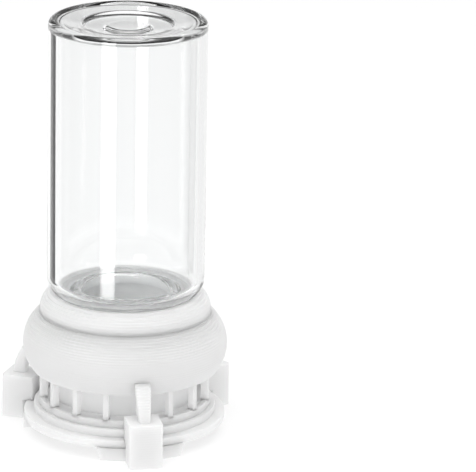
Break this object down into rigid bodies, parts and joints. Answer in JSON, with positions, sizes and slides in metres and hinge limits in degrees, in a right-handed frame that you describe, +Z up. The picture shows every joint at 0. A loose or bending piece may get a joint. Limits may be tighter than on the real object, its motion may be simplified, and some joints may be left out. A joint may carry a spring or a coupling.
{
  "type": "carbon dioxide diffuser",
  "caption": "Upside-down glass vial screwed into a clear plastic bell on a slatted, stepped ring base; catches and slowly dissolves carbon dioxide in an aquarium.",
  "frame": {"origin": "on the vertical axis of the vial and ring, at the level of the feet's undersides", "axes": "+Z up along the vial's axis, -Y towards claw 1; +X completes the right-handed frame"},
  "size_m": [0.0328, 0.0319, 0.0592],
  "materials": {
    "clear_plastic": "printed clear plastic, cloudy, with fine layer lines",
    "inner_plastic": "cloudy plastic, unpolished",
    "seal_rubber": "soft translucent silicone",
    "vial_glass": "clear polished borosilicate tubing glass"
  },
  "bodies": {
    "base": {"base_ring": "clear_plastic", "foot_1": "clear_plastic", "foot_2": "clear_plastic", "foot_3": "clear_plastic", "floor_grid": "inner_plastic", "tablet_dish": "inner_plastic", "slat_cage": "clear_plastic"},
    "housing": {"bell_housing": "clear_plastic", "vial_collar": "clear_plastic", "gas_funnel": "inner_plastic", "claw_1": "clear_plastic", "claw_2": "clear_plastic", "claw_3": "clear_plastic"},
    "seal": {"neck_seal": "seal_rubber"},
    "vial": {"glass_vial": "vial_glass"}
  },
  "joints": [
    {"name": "housing_lift", "type": "slide", "parent": "base", "child": "housing", "axis": [0, 0, 1], "range_m": [0, 0.02]},
    {"name": "vial_rise", "type": "slide", "parent": "housing", "child": "seal", "axis": [0, 0, 1], "range_m": [0, 0.0061]},
    {"name": "vial_turn", "type": "hinge", "parent": "seal", "child": "vial", "pos_m": [0, 0, 0], "axis": [0, 0, 1], "range_deg": [0, 720]}
  ],
  "couplings": [
    {"joint": "vial_rise", "follows": "vial_turn", "m_per_rad": 0.00047746}
  ]
}
